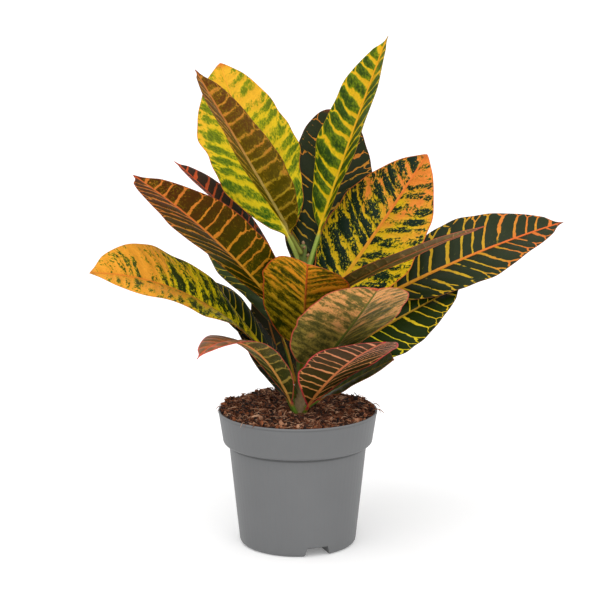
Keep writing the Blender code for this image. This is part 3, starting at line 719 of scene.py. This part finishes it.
def make_stem():
    net = Net("stem_bark")
    place = net.object_place()
    parts = net.node("ShaderNodeSeparateXYZ")
    net.feed(parts.inputs[0], place)
    height = Wire(net, parts.outputs[2])
    streaks = net.noise(place, scale=420.0, detail=4.0, rough=0.6)
    patches = net.noise(place, scale=120.0, detail=2.0)
    level = net.step(0.112, 0.150, height + (patches - 0.5) * 0.02)
    tan = net.mix(streaks, srgb((92, 72, 44)), srgb((168, 142, 100)))
    green = net.mix(streaks, srgb((52, 72, 20)), srgb((120, 140, 54)))
    colour = net.mix(level, tan, green)
    scar = net.attribute("scar")[0]
    colour = net.mix(scar, colour, srgb((132, 84, 58)))
    net.bump(streaks, 0.0004)
    material = net.finish(colour, 0.62 + (streaks - 0.5) * 0.2)

    low = STEM_SEEN_LOW
    top = STEM_SEEN_TOP
    rows = STEM_ROWS
    sides = STEM_SIDES
    scars = [(leaf_height(order), math.radians(row[2])) for order, row in enumerate(LEAVES)]
    vertices = []
    marks = []
    for row in range(rows):
        share = row / (rows - 1)
        height = low + (top - low) * share
        centre = stem_centre(height)
        dome = math.sqrt(max(0.0, 1.0 - max(0.0, (height - (top - STEM_DOME)) / STEM_DOME) ** 2))
        flare = 1.0 + 0.30 * math.exp(-max(0.0, height - 0.104) / 0.004)
        for i in range(sides):
            angle = math.tau * i / sides
            radius = stem_radius(height) * flare
            mark = 0.0
            for scar_height, scar_angle in scars:
                rise = (height - scar_height + 0.0012) / 0.0022
                turn = math.remainder(angle - scar_angle, math.tau) / 0.7
                bump = math.exp(-rise * rise - turn * turn)
                radius += 0.0006 * bump
                ring = math.exp(-((height - scar_height + 0.0030) / 0.0005) ** 2 - turn * turn * 0.5)
                mark = max(mark, 0.8 * ring)
            radius += 0.00018 * math.sin(5 * angle + height * 90.0)
            radius = radius * max(dome, 0.02)
            vertices.append((centre[0] + radius * math.cos(angle), radius * math.sin(angle), height))
            marks.append((mark, 0.0, 0.0))
    stem = mesh_object("stem_wood", vertices, ring_faces(rows, sides), [material])
    store_vectors(stem.data, "scar", marks)
    face_out(stem.data)
    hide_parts("stem")
    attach(stem, "root")


def make_buds():
    """Small pointed buds in the angles between the top petioles and the stem, and one at the tip."""
    net = Net("bud_scales")
    grain = net.noise(net.object_place(), scale=900.0, detail=3.0)
    colour = net.mix(grain, srgb((128, 78, 60)), srgb((178, 152, 104)))
    net.bump(grain, 0.0003)
    material = net.finish(colour, 0.6 + (grain - 0.5) * 0.2)
    rows = 12
    sides = 14
    for number, (height, azimuth, reach, tall, fat) in enumerate(BUDS):
        turned = math.radians(azimuth)
        centre = stem_centre(height)
        vertices = []
        for row in range(rows):
            share = row / (rows - 1)
            radius = fat * (math.sin(math.pi * min(1.0, share * 0.93 + 0.07)) ** 0.7 + 0.02)
            lean = reach + 0.0012 * share * (1.0 if reach else 0.0)
            for i in range(sides):
                angle = math.tau * i / sides
                wave = 1.0 + 0.10 * math.sin(3 * angle + 6.0 * share)
                x = centre[0] + lean * math.cos(turned) + radius * wave * math.cos(angle)
                y = lean * math.sin(turned) + radius * wave * math.sin(angle)
                vertices.append((x, y, height - 0.0012 + tall * share))
        bud = mesh_object(f"bud_{number + 1}", vertices, ring_faces(rows, sides), [material])
        face_out(bud.data)
        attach(bud, "root")


# ---- soil ----------------------------------------------------------------------------------------
POT_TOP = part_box("pot")[1][2]
SOIL_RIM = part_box("soil")[1][0] + 0.0006
SOIL_LEVEL = POT_TOP - 0.0014
CHIPS = 4200
FIBRES = 3000
SPILL_INSET = 0.0015
# Lower rings of the soil's ball inside the pot: radius and height.
BALL_RINGS = ((0.0570, 0.0900), (0.0515, 0.0830), (0.0445, 0.0100))
# Fibres over the pot's lip: azimuth and length.
SPILLED = [
    (-8, 0.012), (-14, 0.008), (-3, 0.009), (6, 0.008), (14, 0.006), (-20, 0.005),
    (-128, 0.013), (-133, 0.009), (-121, 0.007), (176, 0.007), (168, 0.006), (184, 0.006),
    (160, 0.005), (150, 0.006), (60, 0.005), (-60, 0.005), (-100, 0.004), (120, 0.006),
]
# Mounds on the soil: place in the plan, reach and height.
MOUNDS = [
    (0.000, 0.000, 0.020, -0.0040),
    (-0.047, 0.014, 0.016, 0.0038),
    (-0.030, 0.046, 0.012, 0.0046),
    (0.046, 0.014, 0.018, 0.0036),
    (0.020, 0.048, 0.016, 0.0014),
    (-0.024, -0.030, 0.016, 0.0014),
]


def soil_height(x, y):
    """Height of the soil's surface: a hollow round the stem, mounds, and clods."""
    height = SOIL_LEVEL
    for mound_x, mound_y, reach, rise in MOUNDS:
        height += rise * math.exp(-((x - mound_x) ** 2 + (y - mound_y) ** 2) / reach ** 2)
    for scale, size in ((80.0, 0.0018), (200.0, 0.0026), (480.0, 0.0020)):
        height += size * noise.noise(Vector((x * scale, y * scale, scale)))
    return height


def soil_material():
    net = Net("potting_soil")
    place = net.object_place()
    tone = net.attribute("tone")[0]
    coarse = net.noise(place, scale=260.0, detail=3.0)
    fine = net.noise(place, scale=1100.0, detail=4.0, rough=0.65)
    level = net.step(0.42, 0.74, fine * 0.60 + coarse * 0.25 + tone * 0.35)
    colour = net.mix(level, srgb((26, 10, 5)), srgb((158, 90, 50)))
    colour = net.mix(net.step(0.72, 1.0, tone + (fine - 0.5) * 0.3), colour, srgb((222, 172, 136)))
    net.bump(fine + coarse * 0.5, 0.0009)
    return net.finish(colour, 0.92 + (fine - 0.5) * 0.1)


def make_soil(material):
    sectors = 200
    radii = [SOIL_RIM * (i / 64) for i in range(1, 65)]
    vertices = [(0.0, 0.0, soil_height(0.0, 0.0))]
    for radius in radii:
        for i in range(sectors):
            angle = math.tau * i / sectors
            x = radius * math.cos(angle)
            y = radius * math.sin(angle)
            vertices.append((x, y, soil_height(x, y)))
    for radius, height in BALL_RINGS:
        for i in range(sectors):
            angle = math.tau * i / sectors
            vertices.append((radius * math.cos(angle), radius * math.sin(angle), height))
    vertices.append((0.0, 0.0, BALL_RINGS[-1][1]))
    rows = len(radii) + len(BALL_RINGS)
    faces = [(0, 1 + i, 1 + (i + 1) % sectors) for i in range(sectors)]
    for row in range(rows - 1):
        start = 1 + row * sectors
        for i in range(sectors):
            j = (i + 1) % sectors
            faces.append((start + i, start + sectors + i, start + sectors + j, start + j))
    last = 1 + (rows - 1) * sectors
    middle = len(vertices) - 1
    faces += [(last + i, middle, last + (i + 1) % sectors) for i in range(sectors)]
    soil = mesh_object("soil_ball", vertices, faces, [material])
    face_out(soil.data)
    store_vectors(soil.data, "tone", [(0.25, 0.0, 0.0)] * len(vertices))
    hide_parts("soil")
    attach(soil, "root")


def soil_spot(chance):
    """A random place on the soil, clear of the stem."""
    while True:
        x = chance.uniform(-SOIL_RIM, SOIL_RIM)
        y = chance.uniform(-SOIL_RIM, SOIL_RIM)
        if math.hypot(x - STEM_FOOT_X, y) > STEM_RADIUS * 1.5 and math.hypot(x, y) < SOIL_RIM - 0.001:
            return x, y


def make_crumbs(material):
    """Loose chips and crumbs of peat and bark, as one mesh of small rough lumps."""
    chance = random.Random(4)
    builder = bmesh.new()
    tones = []
    for _ in range(CHIPS):
        x, y = soil_spot(chance)
        size = 0.0005 + 0.0020 * chance.random() ** 3
        before = len(builder.verts)
        axis = Vector((chance.uniform(-1, 1), chance.uniform(-1, 1), 1.0))
        turned = Matrix.Rotation(chance.uniform(0, math.tau), 4, axis)
        flat = (size * chance.uniform(0.9, 1.9), size * chance.uniform(0.6, 1.1),
                size * chance.uniform(0.3, 0.7), 1)
        place = Matrix.Translation((x, y, soil_height(x, y) + size * chance.uniform(0.1, 0.7)))
        made = bmesh.ops.create_icosphere(builder, subdivisions=1, radius=1.0,
                                          matrix=place @ turned @ Matrix.Diagonal(flat))
        for vertex in made["verts"]:
            jitter = Vector((chance.uniform(-1, 1), chance.uniform(-1, 1), chance.uniform(-1, 1)))
            vertex.co += jitter * size * 0.42
        tone = chance.random() ** 2.0
        tones += [(tone, 0.0, 0.0)] * (len(builder.verts) - before)
    mesh = bpy.data.meshes.new("soil_crumbs")
    builder.to_mesh(mesh)
    builder.free()
    mesh.materials.append(material)
    store_vectors(mesh, "tone", tones)
    crumbs = bpy.data.objects.new("soil_crumbs", mesh)
    bpy.context.scene.collection.objects.link(crumbs)
    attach(crumbs, "root")


def strand(points, radius):
    """Vertices and faces of a thin closed strand with three sides."""
    vertices = []
    for i, point in enumerate(points):
        ahead = points[min(i + 1, len(points) - 1)] - points[max(i - 1, 0)]
        side = ahead.cross(Vector((0.3, 0.2, 1.0))).normalized()
        other = ahead.cross(side).normalized()
        taper = radius * (1.0 - 0.6 * abs(2.0 * i / (len(points) - 1) - 1.0) ** 2)
        for k in range(3):
            angle = math.tau * k / 3
            vertices.append(point + (side * math.cos(angle) + other * math.sin(angle)) * taper)
    return vertices, ring_faces(len(points), 3)


def make_fibres(material):
    """Coir fibres lying on the soil, a few of them over the pot's lip."""
    chance = random.Random(11)
    starts = [(*soil_spot(chance), chance.uniform(0, math.tau), chance.uniform(0.003, 0.012))
              for _ in range(FIBRES)]
    for azimuth, length in SPILLED:
        turned = math.radians(azimuth)
        reach = SOIL_RIM - SPILL_INSET
        starts.append((reach * math.cos(turned), reach * math.sin(turned), turned, length))
    vertices = []
    faces = []
    tones = []
    for number, (x, y, turned, length) in enumerate(starts):
        spilled = number >= len(starts) - len(SPILLED)
        place = Vector((x, y, soil_height(x, y) + 0.0004))
        points = [place.copy()]
        lift = chance.uniform(-0.1, 0.9) if not spilled else 0.75
        for _ in range(6):
            turned += chance.uniform(-0.5, 0.5) * (0.4 if spilled else 1.0)
            flat = Vector((math.cos(turned), math.sin(turned), lift))
            place = place + flat.normalized() * length / 6
            lift -= 0.20 if not spilled else 0.42
            inside = math.hypot(place.x, place.y) < SOIL_RIM
            if inside:
                place.z = max(place.z, soil_height(place.x, place.y) + 0.0002)
            points.append(place.copy())
        if not spilled and math.hypot(place.x, place.y) > SOIL_RIM:
            continue
        more, shape = strand(points, chance.uniform(0.00014, 0.00046))
        faces += [tuple(i + len(vertices) for i in face) for face in shape]
        tones += [(chance.uniform(0.2, 1.1), 0.0, 0.0)] * len(more)
        vertices += more
    fibres = mesh_object("soil_fibres", vertices, faces, [material])
    store_vectors(fibres.data, "tone", tones)
    face_out(fibres.data)
    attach(fibres, "root")


# ---- pot -----------------------------------------------------------------------------------------
# Heights of the painted shade lines on the pot: under the band, and under the lip's step.
POT_CREASE = POT_TOP - 0.0284
POT_LIP = POT_TOP - 0.0020


def pot_material():
    net = Net("pot_plastic")
    place = net.object_place()
    grain = net.noise(place, scale=1500.0, detail=3.0, rough=0.6)
    haze = net.noise(place, scale=28.0, detail=3.0)
    colour = net.mix(haze, srgb((96, 97, 98)), srgb((104, 105, 106)))
    parts = net.node("ShaderNodeSeparateXYZ")
    net.feed(parts.inputs[0], place)
    height = Wire(net, parts.outputs[2])
    # Painted shade: a dark line just under the band, where the band's step would cast its shadow.
    painted_crease_shade = net.step(0.0016, 0.0003, net.math("ABSOLUTE", height - POT_CREASE))
    # Painted shade: a thin dark line under the lip's bead, standing in for the shadow in the groove.
    painted_lip_shade = net.step(0.0009, 0.0002, net.math("ABSOLUTE", height - POT_LIP))
    # Painted highlight: the top edge of the lip is made lighter, as if light caught it.
    painted_lip_highlight = net.step(POT_TOP - 0.0012, POT_TOP - 0.0002, height)
    colour = net.shade(colour, 1.0 - 0.50 * painted_crease_shade - 0.22 * painted_lip_shade + 0.25 * painted_lip_highlight)
    net.bump(grain, 0.00006)
    net.shader.inputs["Specular IOR Level"].default_value = 0.4
    return net.finish(colour, 0.50 + (grain - 0.5) * 0.15 + (haze - 0.5) * 0.1)


def finish_pot():
    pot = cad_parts["pot"]
    pot.data.materials.clear()
    pot.data.materials.append(pot_material())


# ---- stage ---------------------------------------------------------------------------------------
FLOOR_SIZE = 30.0
FLOOR_GLOW = 0.17
SKY_STRENGTH = 0.82
# Lamps: name, azimuth, height above the floor, strength and spread, in degrees.
LAMPS = (("key", -118, 60, 0.9, 50), ("fill", -72, 26, 0.8, 60))
CAMERA_LENS = 114.8
CAMERA_PLACE = (0.0018, -1.5, 0.494)
CAMERA_DOWN = 11.1


def make_stage():
    net = Net("stage_white")
    speck = net.noise(net.object_place(), scale=3.0)
    colour = net.mix(speck, (0.93, 0.93, 0.93, 1.0), (0.95, 0.95, 0.95, 1.0))
    net.shader.inputs["Emission Color"].default_value = (1.0, 1.0, 1.0, 1.0)
    net.shader.inputs["Emission Strength"].default_value = FLOOR_GLOW
    material = net.finish(colour, 0.9 + (speck - 0.5) * 0.05)
    size = FLOOR_SIZE
    corners = [(-size, -size, 0.0), (size, -size, 0.0), (size, size, 0.0), (-size, size, 0.0)]
    floor = mesh_object("stage_floor", corners, [(0, 1, 2, 3)], [material])

    world = bpy.data.worlds.new("studio")
    bpy.context.scene.world = world
    world.use_nodes = True
    world.node_tree.nodes["Background"].inputs["Color"].default_value = (1.0, 1.0, 1.0, 1.0)
    world.node_tree.nodes["Background"].inputs["Strength"].default_value = SKY_STRENGTH
    for name, azimuth, height, power, spread in LAMPS:
        light = bpy.data.lights.new(name, "SUN")
        light.energy = power
        light.angle = math.radians(spread)
        lamp = bpy.data.objects.new(name, light)
        bpy.context.scene.collection.objects.link(lamp)
        turned = math.radians(azimuth)
        tall = math.radians(height)
        level = math.cos(tall)
        towards = Vector((math.cos(turned) * level, math.sin(turned) * level, math.sin(tall)))
        lamp.rotation_euler = towards.to_track_quat("Z", "Y").to_euler()


def make_camera():
    camera = bpy.data.cameras.new("camera")
    camera.sensor_width = 36.0
    camera.lens = CAMERA_LENS
    item = bpy.data.objects.new("camera", camera)
    bpy.context.scene.collection.objects.link(item)
    item.location = CAMERA_PLACE
    item.rotation_euler = (math.radians(90.0 - CAMERA_DOWN), 0.0, 0.0)
    bpy.context.scene.camera = item
    bpy.context.scene.view_settings.view_transform = "Standard"


def main():
    make_camera()
    make_stage()
    finish_pot()
    soil = soil_material()
    make_soil(soil)
    make_crumbs(soil)
    make_fibres(soil)
    make_stem()
    make_buds()
    materials = {name: leaf_material("leaf_" + name, changes) for name, changes in PALETTES.items()}
    for order, row in enumerate(LEAVES):
        make_leaf(read_leaf(row, order), order, materials)


main()
